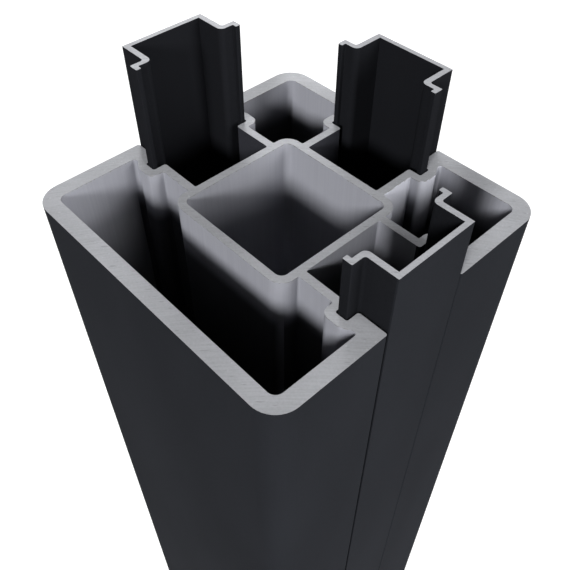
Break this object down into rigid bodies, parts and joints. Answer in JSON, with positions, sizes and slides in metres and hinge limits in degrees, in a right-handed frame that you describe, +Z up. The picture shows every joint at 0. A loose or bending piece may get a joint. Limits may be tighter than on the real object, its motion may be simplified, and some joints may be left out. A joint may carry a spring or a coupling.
{
  "type": "slot fence post",
  "caption": "Square extruded aluminium fence post with board grooves on its sides, an inner square tube, and hooked cover strips that slide in the grooves.",
  "frame": {"origin": "middle of the post's foot, on the ground", "axes": "+Z up along the post, -Y out of the plain side, +X, +Y and -X out of the grooved sides"},
  "size_m": [0.08, 0.08, 1.0255],
  "materials": {
    "coated_post": "satin anthracite powder coat, bare saw-cut ends and bare closed chambers",
    "coated_strip": "satin anthracite powder coat, bare saw-cut ends"
  },
  "bodies": {
    "post_body": {"post": "coated_post"},
    "right_strip": {"right_cover_strip": "coated_strip"},
    "back_strip": {"back_cover_strip": "coated_strip"},
    "left_strip": {"left_cover_strip": "coated_strip"}
  },
  "joints": [
    {"name": "right_strip_slide", "type": "slide", "parent": "post_body", "child": "right_strip", "axis": [0, 0, 1], "range_m": [-0.0148, 0.9452]},
    {"name": "back_strip_slide", "type": "slide", "parent": "post_body", "child": "back_strip", "axis": [0, 0, 1], "range_m": [-0.0214, 0.9386]},
    {"name": "left_strip_slide", "type": "slide", "parent": "post_body", "child": "left_strip", "axis": [0, 0, 1], "range_m": [-0.0255, 0.9345]}
  ]
}
